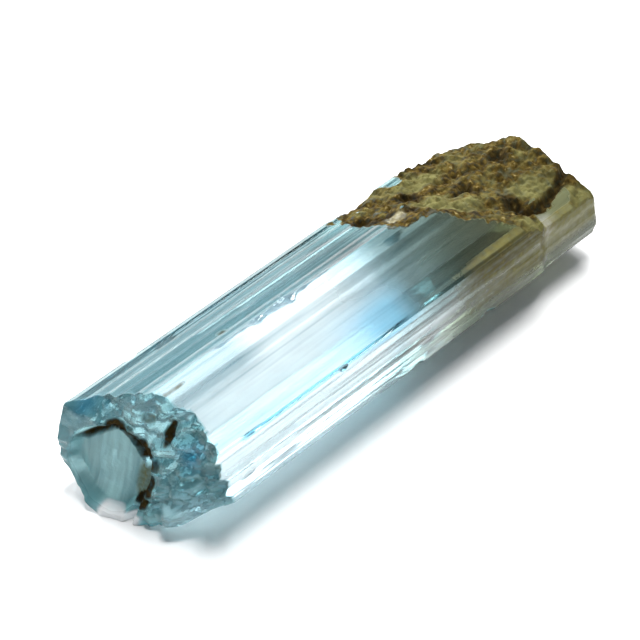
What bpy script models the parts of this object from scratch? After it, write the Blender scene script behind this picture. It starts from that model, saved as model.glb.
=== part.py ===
"""A loose aquamarine crystal: a striated beryl prism lying on one side, its long axis along X.

The six-sided prism is a grid rolled into a tube, with the ledges that run along its faces.
Rough cutters then break it: the near end, the far end and the stained top of the far end. More of
them chip its edges.
All dimensions are in millimetres and are multiplied by MM where a mesh is made.
"""

import bisect
import math

import bmesh
import bpy
from mathutils import Matrix, Vector, noise

MM = 0.001
NAME = "aquamarine_crystal"

# Cross-section: corners as (y, z), going round from the front's lower edge. z = 0 is the surface.
CORNERS = (
    (-4.86, 2.03),  # front low
    (-4.86, 6.69),  # front high
    (-0.35, 9.30),  # ridge
    (4.86, 6.29),  # back high
    (4.86, 1.97),  # back low
    (1.45, 0.00),  # foot, back edge
    (-1.33, 0.00),  # foot, front edge
)
# The same corners on the thinner lobe that ends the crystal at +X.
LOBE_CORNERS = (
    (-4.56, 1.86),
    (-4.56, 5.48),
    (0.85, 8.60),
    (4.86, 6.29),
    (4.86, 1.97),
    (1.45, 0.00),
    (-1.33, 0.00),
)
LOBE_START = (13.5, 13.0, 12.6, 13.0, 13.0, 13.0, 13.0)  # where each corner starts to step in
LOBE_STEP = 0.7  # length of that step along X

NEAR_X = -18.9  # furthest points of the two ends
FAR_X = 19.05
SKIN_SPARE = 2.0  # the uncut prism runs this much past both ends
ROW_SPACING = 0.95

# Ledges along each face: (place across the face from 0 to 1, height out of the face, from x, to x).
ENDLESS = 99.0
LEDGES = (
    (  # front
        (0.08, -0.10, -ENDLESS, 1.0),
        (0.16, 0.03, -ENDLESS, ENDLESS),
        (0.34, -0.05, -9.0, ENDLESS),
        (0.47, 0.04, -ENDLESS, 8.0),
        (0.62, -0.05, -ENDLESS, ENDLESS),
        (0.78, 0.03, -6.0, ENDLESS),
        (0.93, 0.05, -ENDLESS, ENDLESS),
    ),
    (  # front top, the widest bright face
        (0.025, -0.10, -12.6, 0.6),
        (0.05, 0.02, -ENDLESS, ENDLESS),
        (0.27, -0.03, -2.0, ENDLESS),
        (0.43, 0.03, -ENDLESS, 11.0),
        (0.60, -0.05, -ENDLESS, ENDLESS),
        (0.68, 0.03, -ENDLESS, ENDLESS),
        (0.80, -0.06, -11.0, ENDLESS),
        (0.90, 0.04, -ENDLESS, ENDLESS),
    ),
    (  # back top, deeply striped
        (0.10, -0.12, -ENDLESS, ENDLESS),
        (0.20, -0.02, -ENDLESS, ENDLESS),
        (0.27, -0.13, -ENDLESS, ENDLESS),
        (0.36, 0.03, -ENDLESS, 3.0),
        (0.45, -0.11, -ENDLESS, ENDLESS),
        (0.55, 0.04, -ENDLESS, ENDLESS),
        (0.63, -0.10, -ENDLESS, ENDLESS),
        (0.73, 0.02, -12.0, ENDLESS),
        (0.82, -0.12, -ENDLESS, ENDLESS),
        (0.92, 0.03, -ENDLESS, ENDLESS),
    ),
    (  # back
        (0.15, -0.05, -ENDLESS, ENDLESS),
        (0.33, 0.03, -ENDLESS, 6.0),
        (0.52, -0.06, -ENDLESS, ENDLESS),
        (0.70, 0.03, -8.0, ENDLESS),
        (0.86, -0.04, -ENDLESS, ENDLESS),
    ),
    (  # back low
        (0.22, -0.03, -ENDLESS, ENDLESS),
        (0.45, 0.02, -10.0, ENDLESS),
        (0.66, -0.03, -ENDLESS, ENDLESS),
        (0.85, 0.02, -ENDLESS, ENDLESS),
    ),
    (),  # foot, kept flat to rest on
    (  # front low
        (0.20, 0.04, -ENDLESS, ENDLESS),
        (0.40, -0.10, -ENDLESS, ENDLESS),
        (0.60, 0.04, -ENDLESS, 9.0),
        (0.80, -0.09, -ENDLESS, ENDLESS),
    ),
)
LEDGE_FADE = 1.5  # length over which a ledge dies out

# A ragged layer is missing from the back top face along the ridge: (x, its depth). Below 0 it is whole.
RIDGE_CHIPS = (
    (-13.0, -0.25),
    (-10.5, 0.06),
    (-8.2, 0.10),
    (-6.6, 0.16),
    (-5.2, 0.26),
    (-4.4, 0.36),
    (-3.9, 0.08),
    (-1.5, 0.03),
    (2.0, -0.25),
)
RIDGE_CHIP_WIDTH = 1.5  # it runs out of the face this far from the ridge
RIDGE_CHIP_RISE = 0.45  # how far the cut climbs over that width
RIDGE_CHIP_ROUGHNESS = (0.12, 1.3)
RIDGE_CHIP_SPARE = (1.2, 0.3)  # how far the cutter reaches past the ridge and past that width
# Small shell-shaped chips on the long edges: (x, corner, radius, how deep it bites).
EDGE_CHIPS = (
    (-4.5, 1, 0.50, 0.17),
    (8.3, 0, 0.90, 0.22),
    (-9.0, 4, 1.30, 0.30),
    (4.5, 3, 1.10, 0.22),
    (-12.5, 3, 0.80, 0.20),
    (7.0, 4, 1.50, 0.35),
    (2.0, 0, 0.70, 0.18),
)

# Near end: x of the slanting break at these places across (y) and up (z).
NEAR_Y = (-4.9, -2.5, 0.0, 2.4, 4.9)
NEAR_X_AT = (
    (0.0, -13.6, -16.5, -18.0, -19.0, -18.6),
    (1.8, -13.7, -16.4, -17.2, -18.3, -18.2),
    (3.9, -14.3, -15.7, -16.7, -17.7, -18.4),
    (6.2, -14.8, -15.0, -16.2, -17.2, -17.9),
    (7.2, -14.7, -14.7, -15.9, -16.3, -16.5),
    (9.3, -14.0, -14.3, -15.8, -15.9, -16.0),
)
NEAR_ROUGHNESS = (0.15, 1.4)  # height and size of its gentle waves
DISH_CENTRE = (1.85, 2.80)  # smooth shell-shaped facet, (y, z)
DISH_RADII = (2.30, 2.95)
DISH_DEPTH = 0.75
DISH_RIM = 0.12  # half the width of its edge, as a share of the radii
DISH_EDGE = (0.5, 0.866)  # unit direction into the crystal from its back low face, (y, z)
DISH_MARGIN = (0.15, 0.45)  # the dish stops this far from that face, with its fade
DISH_SMOOTHNESS = 0.7  # share of the end's waves that the dish is without
DISH_FLOOR = (0.32, 0.26)  # z of the narrow shelf it stops at, and how much that rises inwards
CRACK = (  # deep crack down the near end, (y, z)
    (3.6, 4.30),
    (2.6, 5.20),
    (1.5, 6.05),
    (0.8, 5.95),
    (0.1, 5.50),
    (-0.45, 4.80),
    (-0.68, 3.9),
    (-0.65, 2.9),
    (-0.50, 1.9),
    (-0.34, 0.9),
    (-0.20, -0.2),
)
CRACK_WIDTH = 0.32
CRACK_DEPTH = 0.55
GRAIN_SIZE = 1.25  # crushed grains
GRAIN_HEIGHT = 0.45
GRAIN_FRONT = (-0.3, 0.9)  # they cover what is in front of this y, and fade over this length
GRAIN_TOP = (5.6, 0.8, 0.55)  # and what is above this z, with its fade and its share of the height
FOOT_LUMP = (-3.1, 1.1, 1.5, 1.0)  # rounded lump at the foot: y, z, radius, how far it stands out
RIM_SCALLOP = 1.7  # spacing of the shell-like bites out of the near rim
RIM_SCALLOP_DEPTH = 0.30
RIM_FRONT = (-3.6, 1.2)  # the rim is in front of this y, with its fade
RIM_TOP = (7.0, -0.5, 1.0)  # and above this z at y = 0, less so towards the back, with its fade

# Far end: (x, height at the middle, slope across) of the rough surface that took off the ridge.
TOP_BREAK = (
    (3.6, 9.45, -0.577),
    (5.0, 8.75, -0.560),
    (7.5, 8.55, -0.480),
    (8.6, 7.75, -0.270),
    (10.8, 7.05, -0.134),
    (13.0, 6.62, -0.045),
    (18.0, 6.45, 0.0),
    (19.5, 6.30, 0.0),
)
TOP_CROWN = 0.085  # how fast the broken top falls away from the middle, per mm squared
TOP_CROWN_FLAT = 1.2  # half-width that stays level
TOP_CROWN_START = (9.0, 8.0)  # where along X the crown begins, and the length over which it grows
TOP_LUMP_SIZE = 1.7
TOP_LUMP_HEIGHT = 0.44
TOP_ROUGHNESS = (0.16, 1.1)
TOP_PITS = (  # x, y, radius, depth
    (4.5, 2.4, 0.9, 0.65),
    (5.8, 1.35, 0.5, 0.40),
    (7.0, 0.6, 0.5, 0.40),
    (8.5, 2.2, 0.8, 0.40),
    (11.9, 0.6, 0.6, 0.40),
    (13.0, -2.6, 0.8, 0.50),
    (15.9, 1.5, 0.8, 0.35),
)
# Crack between the body and the lobe, (x, y).
TOP_GROOVE = ((12.6, -3.4), (14.6, -3.5), (16.6, -3.0), (18.6, -2.0))
TOP_GROOVE_WIDTH = 0.42
TOP_GROOVE_DEPTH = 0.45

# Far end: a flat break across the axis, furthest out at one height, with its back corner gone.
FAR_HEIGHT = 2.5
FAR_LEAN = 0.22  # moves back this much per mm above that height
FAR_UNDERCUT = 0.35  # and this much per mm below it
FAR_CHAMFER = (2.3, 1.55)  # starts at this y, and moves back this much per mm
FAR_CHAMFER_LOSS = 0.16  # the chamfer is this much less per mm down from the back edge
FAR_CHAMFER_LEAST = 0.25
FAR_ROUGHNESS = (0.25, 2.2)

CUTTER_REACH = 4.0  # how far a cutter goes out past the crystal
CUTTER_SPARE = 1.5  # and how far its broken surface runs past the crystal's sides
CELL = 0.36  # grid size of a broken surface
LUMP_STEEPNESS = 1.4
AQUA = (0.62, 0.83, 0.87, 1.0)


def stepped(table, x):
    """Each column of a table of (x, value, ...) rows, read at x along straight lines."""
    places = [row[0] for row in table]
    if x <= places[0]:
        return table[0][1:]
    if x >= places[-1]:
        return table[-1][1:]
    after = bisect.bisect_right(places, x)
    low, high = table[after - 1], table[after]
    share = (x - low[0]) / (high[0] - low[0])
    return tuple(a + (b - a) * share for a, b in zip(low[1:], high[1:]))


def clamp(value):
    return min(1.0, max(0.0, value))


def smooth(value):
    value = clamp(value)
    return value * value * (3 - 2 * value)


def distance_to_path(path, a, b):
    """Distance from (a, b) to a path of straight pieces."""
    here = Vector((a, b))
    nearest = math.inf
    for start, end in zip(path, path[1:]):
        start, end = Vector(start), Vector(end)
        along = end - start
        share = clamp((here - start).dot(along) / along.length_squared)
        nearest = min(nearest, (here - start - along * share).length)
    return nearest


def bump(distance, radius):
    """A rounded bump: 1 at its middle, 0 from this radius out."""
    return smooth(1 - distance / radius)


def lumps(size, *place):
    """Rounded grains of about this size, from 0 in the creases to 1 on top."""
    distances, _ = noise.voronoi(Vector(place) / size)
    return clamp((distances[1] - distances[0]) * LUMP_STEEPNESS)


def waves(roughness, *place):
    """Natural unevenness of this (height, size)."""
    height, size = roughness
    return height * noise.fractal(Vector(place) / size, 0.8, 2.1, 3)


# --- The prism ---


def corner(index, x):
    """Corner (y, z) of the section at x: full, then stepped in on the lobe."""
    share = clamp((x - LOBE_START[index]) / LOBE_STEP)
    return Vector(CORNERS[index]).lerp(Vector(LOBE_CORNERS[index]), share)


def ledge_height(face, across, x):
    """Height of the ledges over a flat face, along straight lines between them."""
    knots = [(0.0, 0.0)]
    for place, height, start, end in LEDGES[face]:
        shown = clamp((x - start) / LEDGE_FADE) * clamp((end - x) / LEDGE_FADE)
        knots.append((place, height * shown))
    knots.append((1.0, 0.0))
    return stepped(knots, across)[0]


def skin_point(face, across, x):
    start = corner(face, x)
    end = corner((face + 1) % len(CORNERS), x)
    along = (end - start).normalized()
    out = Vector((-along.y, along.x))
    y, z = start.lerp(end, across) + out * ledge_height(face, across, x)
    return Vector((x, y, z)) * MM


def skin_columns():
    """(face, place across it) of each grid line that runs along the crystal, all the way round."""
    columns = []
    for face, ledges in enumerate(LEDGES):
        columns.append((face, 0.0))
        columns += [(face, ledge[0]) for ledge in ledges]
    return columns


def skin_rows():
    start, end = NEAR_X - SKIN_SPARE, FAR_X + SKIN_SPARE
    count = round((end - start) / ROW_SPACING)
    even = [start + (end - start) * i / count for i in range(count + 1)]
    keys = list(LOBE_START) + [x + LOBE_STEP for x in LOBE_START]
    kept = [x for x in even if min(abs(x - key) for key in keys) > ROW_SPACING / 3]
    return sorted(set(kept + keys))


def make_skin(parts):
    """The whole prism before anything broke off: a grid rolled round the section and closed."""
    columns, rows = skin_columns(), skin_rows()
    mesh = bmesh.new()
    bmesh.ops.create_grid(mesh, x_segments=len(rows) - 1, y_segments=len(columns), size=0.5)
    for vert in mesh.verts:
        row = rows[round((vert.co.x + 0.5) * (len(rows) - 1))]
        face, across = columns[round((vert.co.y + 0.5) * len(columns)) % len(columns)]
        vert.co = skin_point(face, across, row)
    bmesh.ops.remove_doubles(mesh, verts=mesh.verts, dist=1e-7)
    bmesh.ops.holes_fill(mesh, edges=mesh.edges, sides=0)
    return finish_object(mesh, NAME, parts)


# --- The broken surfaces ---


def dish_share(y, z):
    """1 inside the smooth shell-shaped facet of the near end, 0 outside it."""
    to_dish = math.hypot(
        (y - DISH_CENTRE[0]) / DISH_RADII[0], (z - DISH_CENTRE[1]) / DISH_RADII[1]
    )
    inside = (CORNERS[4][0] - y) * DISH_EDGE[0] + (z - CORNERS[4][1]) * DISH_EDGE[1]
    kept = smooth((inside - DISH_MARGIN[0]) / DISH_MARGIN[1])
    kept *= clamp((z - DISH_FLOOR[0]) / DISH_FLOOR[1])
    return kept * smooth((1 + DISH_RIM - to_dish) / (2 * DISH_RIM))


def near_break(y, z):
    """x of the near end at (y, z)."""
    x = stepped(list(zip(NEAR_Y, stepped(NEAR_X_AT, z))), y)[0]
    in_dish = dish_share(y, z)
    x += waves(NEAR_ROUGHNESS, y, z, 4.0) * (1 - DISH_SMOOTHNESS * in_dish)
    x += DISH_DEPTH * in_dish
    x += CRACK_DEPTH * bump(distance_to_path(CRACK, y, z), CRACK_WIDTH)
    lump_y, lump_z, radius, height = FOOT_LUMP
    x -= height * bump(math.hypot(y - lump_y, z - lump_z), radius)
    in_front = smooth((GRAIN_FRONT[0] - y) / GRAIN_FRONT[1])
    on_top = smooth((z - GRAIN_TOP[0]) / GRAIN_TOP[1]) * GRAIN_TOP[2]
    grained = min(1.0, in_front + on_top)
    x -= GRAIN_HEIGHT * grained * (lumps(GRAIN_SIZE, y, z, 0.0) - 0.35)
    front_rim = smooth((RIM_FRONT[0] - y) / RIM_FRONT[1])
    top_rim = smooth((z - RIM_TOP[0] + RIM_TOP[1] * y) / RIM_TOP[2])
    bite = abs(math.sin(math.pi * (y + z) / RIM_SCALLOP))
    return x + RIM_SCALLOP_DEPTH * min(1.0, front_rim + top_rim) * bite


def top_break(x, y):
    """Height of the rough surface on top of the far end."""
    middle, slope = stepped(TOP_BREAK, x)
    z = middle + slope * y
    crowned = smooth((x - TOP_CROWN_START[0]) / TOP_CROWN_START[1])
    z -= TOP_CROWN * crowned * max(0.0, abs(y) - TOP_CROWN_FLAT) ** 2
    z += TOP_LUMP_HEIGHT * (lumps(TOP_LUMP_SIZE, x, y, 9.0) - 0.5)
    z += waves(TOP_ROUGHNESS, x, y, 2.0)
    for pit_x, pit_y, radius, depth in TOP_PITS:
        z -= depth * bump(math.hypot(x - pit_x, y - pit_y), radius)
    return z - TOP_GROOVE_DEPTH * bump(distance_to_path(TOP_GROOVE, x, y), TOP_GROOVE_WIDTH)


def far_break(y, z):
    """x of the far end at (y, z)."""
    start, pace = FAR_CHAMFER
    share = 1 - FAR_CHAMFER_LOSS * max(0.0, CORNERS[3][1] - z)
    back = pace * max(0.0, y - start) * max(FAR_CHAMFER_LEAST, share)
    back += FAR_LEAN * max(0.0, z - FAR_HEIGHT) + FAR_UNDERCUT * max(0.0, FAR_HEIGHT - z)
    return FAR_X - back - abs(waves(FAR_ROUGHNESS, y, z, 7.0))


def ridge_break(x, across):
    """(y, z) of the chipped layer this far from the ridge, and which way is out of the face."""
    ridge, back = Vector(CORNERS[2]), Vector(CORNERS[3])
    along = (back - ridge).normalized()
    out = Vector((-along.y, along.x))
    depth = stepped(RIDGE_CHIPS, x)[0]
    if depth > 0:
        depth += waves(RIDGE_CHIP_ROUGHNESS, x, across, 5.0) * min(1.0, depth * 10)
    depth -= RIDGE_CHIP_RISE * smooth(across / RIDGE_CHIP_WIDTH)
    return ridge + along * across - out * depth, out


def make_cutter(name, low, high, place, cutters):
    """A closed block over the rectangle low..high, whose inner side is the broken surface.

    place(a, b) gives a point of that surface, and place(a, b, True) the point above it on the flat
    outer side.
    """
    spans = [high[i] - low[i] for i in (0, 1)]
    cells = [round(span / CELL) for span in spans]
    mesh = bmesh.new()
    bmesh.ops.create_grid(mesh, x_segments=cells[0], y_segments=cells[1], size=0.5)
    for vert in mesh.verts:
        vert.co.x = low[0] + (vert.co.x + 0.5) * spans[0]
        vert.co.y = low[1] + (vert.co.y + 0.5) * spans[1]
    grown = bmesh.ops.extrude_face_region(mesh, geom=mesh.faces[:])
    outer = {item for item in grown["geom"] if isinstance(item, bmesh.types.BMVert)}
    for vert in mesh.verts:
        vert.co = Vector(place(vert.co.x, vert.co.y, vert in outer)) * MM
    return finish_object(mesh, name, cutters)


def make_cutters(cutters):
    """Everything that breaks the prism, in the order of the cuts."""

    def near(y, z, outside=False):
        return (NEAR_X - CUTTER_REACH if outside else near_break(y, z), y, z)

    def far(y, z, outside=False):
        return (FAR_X + CUTTER_REACH if outside else far_break(y, z), y, z)

    def top(x, y, outside=False):
        return (x, y, CORNERS[2][1] + CUTTER_REACH if outside else top_break(x, y))

    def ridge(x, across, outside=False):
        place, out = ridge_break(x, across)
        return (x, *(place + out * CUTTER_REACH if outside else place))

    width = CORNERS[3][0] + CUTTER_SPARE
    section = ((-width, -CUTTER_SPARE), (width, CORNERS[2][1] + CUTTER_SPARE))
    top_from = (TOP_BREAK[0][0], -width)
    top_to = (FAR_X + SKIN_SPARE + CUTTER_SPARE, width)
    ridge_from = (RIDGE_CHIPS[0][0], -RIDGE_CHIP_SPARE[0])
    ridge_to = (RIDGE_CHIPS[-1][0], RIDGE_CHIP_WIDTH + RIDGE_CHIP_SPARE[1])
    return (
        make_cutter("near_break", *section, near, cutters),
        make_cutter("far_break", *section, far, cutters),
        make_cutter("top_break", top_from, top_to, top, cutters),
        make_cutter("ridge_chips", ridge_from, ridge_to, ridge, cutters),
        make_edge_chips(cutters),
    )


def make_edge_chips(cutters):
    """One object of all the balls that bite chips out of the long edges."""
    mesh = bmesh.new()
    for x, index, radius, depth in EDGE_CHIPS:
        edge = Vector(CORNERS[index])
        out = (edge - Vector((0.0, CORNERS[2][1] / 2))).normalized()
        centre = edge + out * (radius - depth)
        place = Matrix.Translation(Vector((x, *centre)) * MM)
        bmesh.ops.create_icosphere(mesh, subdivisions=2, radius=radius * MM, matrix=place)
    return finish_object(mesh, "edge_chips", cutters)


# --- Scene ---


def finish_object(mesh, name, collection):
    """An object from a bmesh, in metres, with its faces turned outwards."""
    bmesh.ops.recalc_face_normals(mesh, faces=mesh.faces)
    data = bpy.data.meshes.new(name)
    mesh.to_mesh(data)
    mesh.free()
    made = bpy.data.objects.new(name, data)
    collection.objects.link(made)
    return made


def aquamarine():
    """Clear pale blue beryl."""
    material = bpy.data.materials.new("aquamarine")
    material.use_nodes = True
    shader = material.node_tree.nodes["Principled BSDF"]
    shader.inputs["Base Color"].default_value = AQUA
    shader.inputs["Roughness"].default_value = 0.08
    shader.inputs["Metallic"].default_value = 0.0
    shader.inputs["IOR"].default_value = 1.577
    shader.inputs["Transmission Weight"].default_value = 1.0
    return material


def clear_scene():
    for obj in list(bpy.data.objects):
        bpy.data.objects.remove(obj)


def new_collection(name):
    collection = bpy.data.collections.new(name)
    bpy.context.scene.collection.children.link(collection)
    return collection


def main():
    clear_scene()
    parts = new_collection(NAME)
    cutters = new_collection("cutters")
    cutters.hide_render = True
    crystal = make_skin(parts)
    crystal.data.materials.append(aquamarine())
    for cutter in make_cutters(cutters):
        cutter.hide_render = True
        cutter.display_type = "WIRE"
        cut = crystal.modifiers.new(cutter.name, "BOOLEAN")
        cut.operation = "DIFFERENCE"
        cut.solver = "EXACT"
        cut.object = cutter
    crystal.data.shade_flat()


main()
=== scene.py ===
"""Looks of the aquamarine crystal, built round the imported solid.

One finely modelled clear crystal replaces the plain solid. Its forms are those of the solid, from the
same named values in millimetres, with fine striae, grains and facets added.
"""

import math
import random

import bmesh
import bpy
import numpy as np
from mathutils import Matrix, Vector, noise


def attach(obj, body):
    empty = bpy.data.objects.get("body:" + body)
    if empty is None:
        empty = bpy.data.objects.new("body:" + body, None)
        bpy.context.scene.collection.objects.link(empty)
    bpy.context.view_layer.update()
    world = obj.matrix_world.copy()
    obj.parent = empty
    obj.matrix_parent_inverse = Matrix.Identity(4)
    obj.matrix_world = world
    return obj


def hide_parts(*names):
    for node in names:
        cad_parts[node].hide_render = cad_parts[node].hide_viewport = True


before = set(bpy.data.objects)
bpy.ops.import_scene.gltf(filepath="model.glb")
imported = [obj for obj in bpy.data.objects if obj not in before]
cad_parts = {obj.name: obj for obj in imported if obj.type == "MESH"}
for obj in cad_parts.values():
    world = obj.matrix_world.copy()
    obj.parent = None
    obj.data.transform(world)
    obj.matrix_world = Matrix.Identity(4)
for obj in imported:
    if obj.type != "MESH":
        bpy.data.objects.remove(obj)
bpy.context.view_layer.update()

MM = 0.001
NODE = "aquamarine_crystal"

# --- The solid's own forms, as in part.py, in millimetres ---

# Cross-section: corners as (y, z), going round from the front's lower edge. z = 0 is the surface.
CORNERS = (
    (-4.86, 2.03),  # front low
    (-4.86, 6.69),  # front high
    (-0.35, 9.30),  # ridge
    (4.86, 6.29),  # back high
    (4.86, 1.97),  # back low
    (1.45, 0.00),  # foot, back edge
    (-1.33, 0.00),  # foot, front edge
)
# The same corners on the thinner lobe that ends the crystal at +X.
LOBE_CORNERS = (
    (-4.56, 1.86),
    (-4.56, 5.48),
    (0.85, 8.60),
    (4.86, 6.29),
    (4.86, 1.97),
    (1.45, 0.00),
    (-1.33, 0.00),
)
LOBE_START = (13.5, 13.0, 12.6, 13.0, 13.0, 13.0, 13.0)  # where each corner starts to step in
LOBE_STEP = 0.7  # length of that step along X
NEAR_X = -18.9  # furthest points of the two ends
FAR_X = 19.05
SKIN_SPARE = 2.0  # the uncut prism runs this much past both ends

# Ledges along each face: (place across the face from 0 to 1, height out of the face, from x, to x).
ENDLESS = 99.0
LEDGES = (
    (  # front
        (0.08, -0.10, -ENDLESS, 1.0),
        (0.16, 0.03, -ENDLESS, ENDLESS),
        (0.34, -0.05, -9.0, ENDLESS),
        (0.47, 0.04, -ENDLESS, 8.0),
        (0.62, -0.05, -ENDLESS, ENDLESS),
        (0.78, 0.03, -6.0, ENDLESS),
        (0.93, 0.05, -ENDLESS, ENDLESS),
    ),
    (  # front top, the widest bright face
        (0.025, -0.10, -12.6, 0.6),
        (0.05, 0.02, -ENDLESS, ENDLESS),
        (0.27, -0.03, -2.0, ENDLESS),
        (0.43, 0.03, -ENDLESS, 11.0),
        (0.60, -0.05, -ENDLESS, ENDLESS),
        (0.68, 0.03, -ENDLESS, ENDLESS),
        (0.80, -0.06, -11.0, ENDLESS),
        (0.90, 0.04, -ENDLESS, ENDLESS),
    ),
    (  # back top, deeply striped
        (0.10, -0.12, -ENDLESS, ENDLESS),
        (0.20, -0.02, -ENDLESS, ENDLESS),
        (0.27, -0.13, -ENDLESS, ENDLESS),
        (0.36, 0.03, -ENDLESS, 3.0),
        (0.45, -0.11, -ENDLESS, ENDLESS),
        (0.55, 0.04, -ENDLESS, ENDLESS),
        (0.63, -0.10, -ENDLESS, ENDLESS),
        (0.73, 0.02, -12.0, ENDLESS),
        (0.82, -0.12, -ENDLESS, ENDLESS),
        (0.92, 0.03, -ENDLESS, ENDLESS),
    ),
    (  # back
        (0.15, -0.05, -ENDLESS, ENDLESS),
        (0.33, 0.03, -ENDLESS, 6.0),
        (0.52, -0.06, -ENDLESS, ENDLESS),
        (0.70, 0.03, -8.0, ENDLESS),
        (0.86, -0.04, -ENDLESS, ENDLESS),
    ),
    (  # back low
        (0.22, -0.03, -ENDLESS, ENDLESS),
        (0.45, 0.02, -10.0, ENDLESS),
        (0.66, -0.03, -ENDLESS, ENDLESS),
        (0.85, 0.02, -ENDLESS, ENDLESS),
    ),
    (),  # foot, kept flat to rest on
    (  # front low
        (0.20, 0.04, -ENDLESS, ENDLESS),
        (0.40, -0.10, -ENDLESS, ENDLESS),
        (0.60, 0.04, -ENDLESS, 9.0),
        (0.80, -0.09, -ENDLESS, ENDLESS),
    ),
)
LEDGE_FADE = 1.5  # length over which a ledge dies out

# A ragged layer is missing from the back top face along the ridge: (x, its depth). Below 0 it is whole.
RIDGE_CHIPS = (
    (-13.0, -0.25),
    (-10.5, 0.06),
    (-8.2, 0.10),
    (-6.6, 0.16),
    (-5.2, 0.26),
    (-4.4, 0.36),
    (-3.9, 0.08),
    (-1.5, 0.03),
    (2.0, -0.25),
)
RIDGE_CHIP_WIDTH = 1.5  # it runs out of the face this far from the ridge
RIDGE_CHIP_RISE = 0.45  # how far the cut climbs over that width
RIDGE_CHIP_ROUGHNESS = (0.12, 1.3)
RIDGE_CHIP_FULL = 10.0  # the waves are full where the layer is one tenth of a millimetre deep
RIDGE_CHIP_SPARE = (1.2, 0.3)  # how far the cutter reaches past the ridge and past that width
# Small shell-shaped chips on the long edges: (x, corner, radius, how deep it bites).
EDGE_CHIPS = (
    (-4.5, 1, 0.50, 0.17),
    (8.3, 0, 0.90, 0.22),
    (-9.0, 4, 1.30, 0.30),
    (4.5, 3, 1.10, 0.22),
    (-12.5, 3, 0.80, 0.20),
    (7.0, 4, 1.50, 0.35),
    (2.0, 0, 0.70, 0.18),
)

# Near end: x of the slanting break at these places across (y) and up (z).
NEAR_Y = (-4.9, -2.5, 0.0, 2.4, 4.9)
NEAR_X_AT = (
    (0.0, -13.6, -16.5, -18.0, -19.0, -18.6),
    (1.8, -13.7, -16.4, -17.2, -18.3, -18.2),
    (3.9, -14.3, -15.7, -16.7, -17.7, -18.4),
    (6.2, -14.8, -15.0, -16.2, -17.2, -17.9),
    (7.2, -14.7, -14.7, -15.9, -16.3, -16.5),
    (9.3, -14.0, -14.3, -15.8, -15.9, -16.0),
)
NEAR_ROUGHNESS = (0.15, 1.4)  # height and size of its gentle waves
DISH_CENTRE = (1.85, 2.80)  # smooth shell-shaped facet, (y, z)
DISH_RADII = (2.30, 2.95)
DISH_DEPTH = 0.75
DISH_RIM = 0.12  # half the width of its edge, as a share of the radii
DISH_EDGE = (0.5, 0.866)  # unit direction into the crystal from its back low face, (y, z)
DISH_MARGIN = (0.15, 0.45)  # the dish stops this far from that face, with its fade
DISH_SMOOTHNESS = 0.7  # share of the end's waves that the dish is without
DISH_FLOOR = (0.32, 0.26)  # z of the narrow shelf it stops at, and how much that rises inwards
CRACK = (  # deep crack down the near end, (y, z)
    (3.6, 4.30),
    (2.6, 5.20),
    (1.5, 6.05),
    (0.8, 5.95),
    (0.1, 5.50),
    (-0.45, 4.80),
    (-0.68, 3.9),
    (-0.65, 2.9),
    (-0.50, 1.9),
    (-0.34, 0.9),
    (-0.20, -0.2),
)
CRACK_WIDTH = 0.32
CRACK_DEPTH = 0.55
GRAIN_SIZE = 1.25  # crushed grains
GRAIN_HEIGHT = 0.45
GRAIN_LEVEL = 0.35  # lump height that leaves the surface where it was
GRAIN_FRONT = (-0.3, 0.9)  # they cover what is in front of this y, and fade over this length
GRAIN_TOP = (5.6, 0.8, 0.55)  # and what is above this z, with its fade and its share of the height
FOOT_LUMP = (-3.1, 1.1, 1.5, 1.0)  # rounded lump at the foot: y, z, radius, how far it stands out
RIM_SCALLOP = 1.7  # spacing of the shell-like bites out of the near rim
RIM_SCALLOP_DEPTH = 0.30
RIM_FRONT = (-3.6, 1.2)  # the rim is in front of this y, with its fade
RIM_TOP = (7.0, -0.5, 1.0)  # and above this z at y = 0, less so towards the back, with its fade

# Far end: (x, height at the middle, slope across) of the rough surface that took off the ridge.
TOP_BREAK = (
    (3.6, 9.45, -0.577),
    (5.0, 8.75, -0.560),
    (7.5, 8.55, -0.480),
    (8.6, 7.75, -0.270),
    (10.8, 7.05, -0.134),
    (13.0, 6.62, -0.045),
    (18.0, 6.45, 0.0),
    (19.5, 6.30, 0.0),
)
TOP_CROWN = 0.085  # how fast the broken top falls away from the middle, per mm squared
TOP_CROWN_FLAT = 1.2  # half-width that stays level
TOP_CROWN_START = (9.0, 8.0)  # where along X the crown begins, and the length over which it grows
TOP_LUMP_SIZE = 1.7
TOP_LUMP_HEIGHT = 0.44
TOP_ROUGHNESS = (0.16, 1.1)
TOP_PITS = (  # x, y, radius, depth
    (4.5, 2.4, 0.9, 0.65),
    (5.8, 1.35, 0.5, 0.40),
    (7.0, 0.6, 0.5, 0.40),
    (8.5, 2.2, 0.8, 0.40),
    (11.9, 0.6, 0.6, 0.40),
    (13.0, -2.6, 0.8, 0.50),
    (15.9, 1.5, 0.8, 0.35),
)
# Crack between the body and the lobe, (x, y).
TOP_GROOVE = ((12.6, -3.4), (14.6, -3.5), (16.6, -3.0), (18.6, -2.0))
TOP_GROOVE_WIDTH = 0.42
TOP_GROOVE_DEPTH = 0.45

# Far end: a flat break across the axis, furthest out at one height, with its back corner gone.
FAR_HEIGHT = 2.5
FAR_LEAN = 0.22  # moves back this much per mm above that height
FAR_UNDERCUT = 0.35  # and this much per mm below it
FAR_CHAMFER = (2.3, 1.55)  # starts at this y, and moves back this much per mm
FAR_CHAMFER_LOSS = 0.16  # the chamfer is this much less per mm down from the back edge
FAR_CHAMFER_LEAST = 0.25
FAR_ROUGHNESS = (0.25, 2.2)

LUMP_STEEPNESS = 1.4
CUTTER_REACH = 4.0  # how far a cutter goes out past the crystal
CUTTER_SPARE = 1.5  # and how far its broken surface runs past the crystal's sides

# --- What only this script adds ---

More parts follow.
